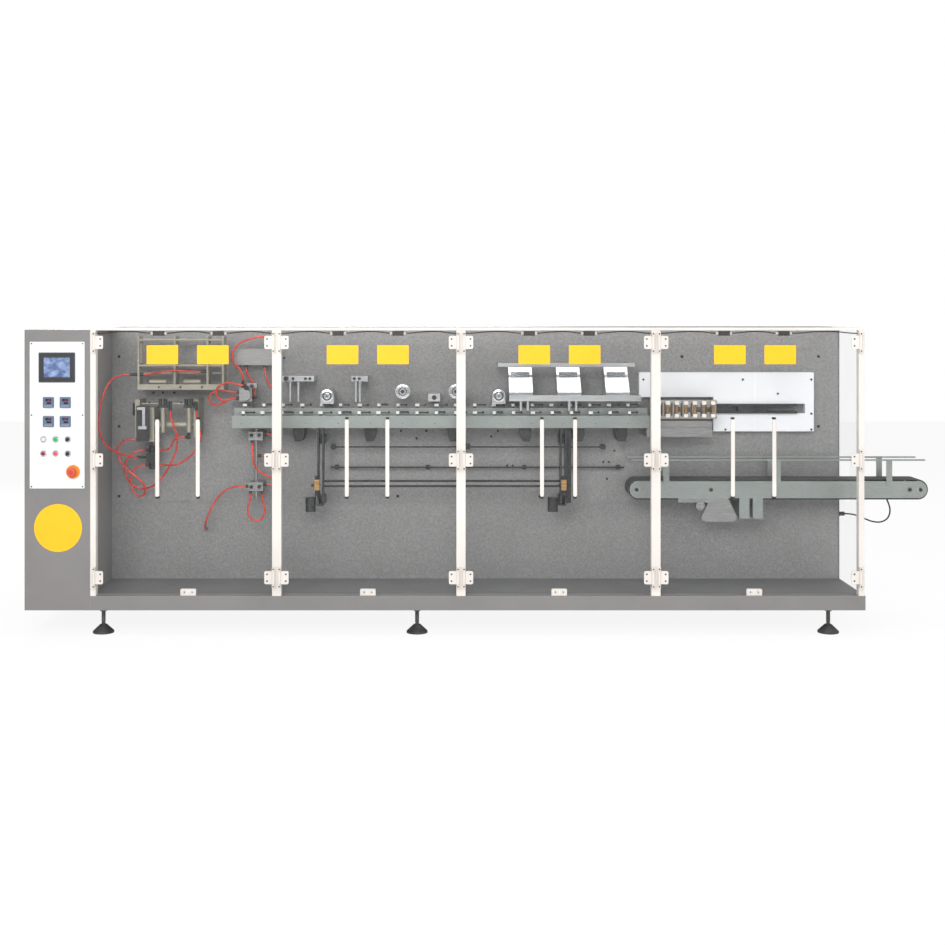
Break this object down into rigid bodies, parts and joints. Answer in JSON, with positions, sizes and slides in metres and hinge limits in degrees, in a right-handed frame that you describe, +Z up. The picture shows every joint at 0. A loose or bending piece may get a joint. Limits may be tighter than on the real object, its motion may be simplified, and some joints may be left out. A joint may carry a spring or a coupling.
{
  "type": "horizontal pouch packing machine",
  "caption": "Horizontal pouch packing machine with a control cabinet, a guarded row of working stations behind clear hinged doors, and a discharge conveyor at the end.",
  "frame": {"origin": "on the floor, in the middle of the machine's box", "axes": "+X towards the discharge end, +Y from the doors to the back, +Z up"},
  "size_m": [4.6059, 0.948, 1.538],
  "materials": {
    "aluminium_bar": "satin aluminium",
    "belt_rubber": "matte dark grey belt",
    "black_plastic": "matte black plastic",
    "black_steel": "black oxide steel",
    "brass_clamps": "satin steel with brass spring housings",
    "button_plastic": "coloured caps in light bezels",
    "cable_rubber": "matte black sheath",
    "clamp_plastic": "dark satin steel jaws",
    "clear_plastic": "clear polished sheet",
    "controller_plastic": "matte blue-grey plastic",
    "dark_glass": "dark bezel round a blue-grey display",
    "fitting_steel": "off-white leaves and handle",
    "foot_steel": "dark steel feet with bright stems",
    "grey_paint": "satin grey enamel, lightly worn",
    "grey_steel": "satin grey steel and aluminium",
    "hose_plastic": "red polyurethane hose",
    "polished_steel": "polished steel",
    "regulator_plastic": "cast body with black knob and bowl",
    "stop_plastic": "red head on an orange-yellow collar",
    "white_plate": "satin light plate",
    "white_steel": "satin off-white"
  },
  "bodies": {
    "machine": {"air_fittings": "black_plastic", "air_hoses": "hose_plastic", "air_regulator": "regulator_plastic", "base_frame": "grey_paint", "bearing_brackets": "black_steel", "cable_fittings": "black_plastic", "control_cabinet": "grey_paint", "control_panel": "white_plate", "conveyor_belt": "belt_rubber", "conveyor_drive": "grey_steel", "conveyor_drums": "polished_steel", "conveyor_frame": "grey_steel", "cooling_clamps": "brass_clamps", "cooling_cover": "white_plate", "discharge_actuator": "black_steel", "door_catches": "white_steel", "door_switches": "black_plastic", "drip_tray": "grey_steel", "emergency_stop": "stop_plastic", "end_guard": "clear_plastic", "guard_posts": "white_steel", "guide_rails": "grey_steel", "hinge_brackets": "white_steel", "levelling_feet": "foot_steel", "lift_slides": "black_steel", "lower_chute": "grey_steel", "motor_cable": "cable_rubber", "mounting_plate": "grey_steel", "opening_station": "grey_steel", "pickup_unit": "grey_steel", "pouch_clamps": "clamp_plastic", "pouch_magazine": "grey_steel", "push_buttons": "button_plastic", "rear_housing": "grey_paint", "roof_panel": "clear_plastic", "sealer_carrier": "aluminium_bar", "sealing_units": "polished_steel", "side_rails": "grey_steel", "station_units": "grey_steel", "switch_cables": "cable_rubber", "temperature_controllers": "controller_plastic", "top_rails": "white_steel", "touch_screen": "dark_glass", "transfer_beam": "grey_steel"},
    "door_1_left": {"door_1_left_panel": "clear_plastic", "door_1_left_fittings": "fitting_steel"},
    "door_1_right": {"door_1_right_panel": "clear_plastic", "door_1_right_fittings": "fitting_steel"},
    "door_2_left": {"door_2_left_panel": "clear_plastic", "door_2_left_fittings": "fitting_steel"},
    "door_2_right": {"door_2_right_panel": "clear_plastic", "door_2_right_fittings": "fitting_steel"},
    "door_3_left": {"door_3_left_panel": "clear_plastic", "door_3_left_fittings": "fitting_steel"},
    "door_3_right": {"door_3_right_panel": "clear_plastic", "door_3_right_fittings": "fitting_steel"},
    "door_4_left": {"door_4_left_panel": "clear_plastic", "door_4_left_fittings": "fitting_steel"},
    "door_4_right": {"door_4_right_panel": "clear_plastic", "door_4_right_fittings": "fitting_steel"}
  },
  "joints": [
    {"name": "door_1_left_hinge", "type": "hinge", "parent": "machine", "child": "door_1_left", "pos_m": [-1.953, -0.438, 0.8755], "axis": [0, 0, -1], "range_deg": [0, 90]},
    {"name": "door_1_right_hinge", "type": "hinge", "parent": "machine", "child": "door_1_right", "pos_m": [-1.056, -0.438, 0.8755], "axis": [0, 0, 1], "range_deg": [0, 90]},
    {"name": "door_2_left_hinge", "type": "hinge", "parent": "machine", "child": "door_2_left", "pos_m": [-1.026, -0.438, 0.8755], "axis": [0, 0, -1], "range_deg": [0, 90]},
    {"name": "door_2_right_hinge", "type": "hinge", "parent": "machine", "child": "door_2_right", "pos_m": [-0.134, -0.438, 0.8755], "axis": [0, 0, 1], "range_deg": [0, 90]},
    {"name": "door_3_left_hinge", "type": "hinge", "parent": "machine", "child": "door_3_left", "pos_m": [-0.104, -0.438, 0.8755], "axis": [0, 0, -1], "range_deg": [0, 90]},
    {"name": "door_3_right_hinge", "type": "hinge", "parent": "machine", "child": "door_3_right", "pos_m": [0.841, -0.438, 0.8755], "axis": [0, 0, 1], "range_deg": [0, 90]},
    {"name": "door_4_left_hinge", "type": "hinge", "parent": "machine", "child": "door_4_left", "pos_m": [0.871, -0.438, 0.8755], "axis": [0, 0, -1], "range_deg": [0, 90]},
    {"name": "door_4_right_hinge", "type": "hinge", "parent": "machine", "child": "door_4_right", "pos_m": [1.878, -0.438, 0.8755], "axis": [0, 0, 1], "range_deg": [0, 90]}
  ]
}
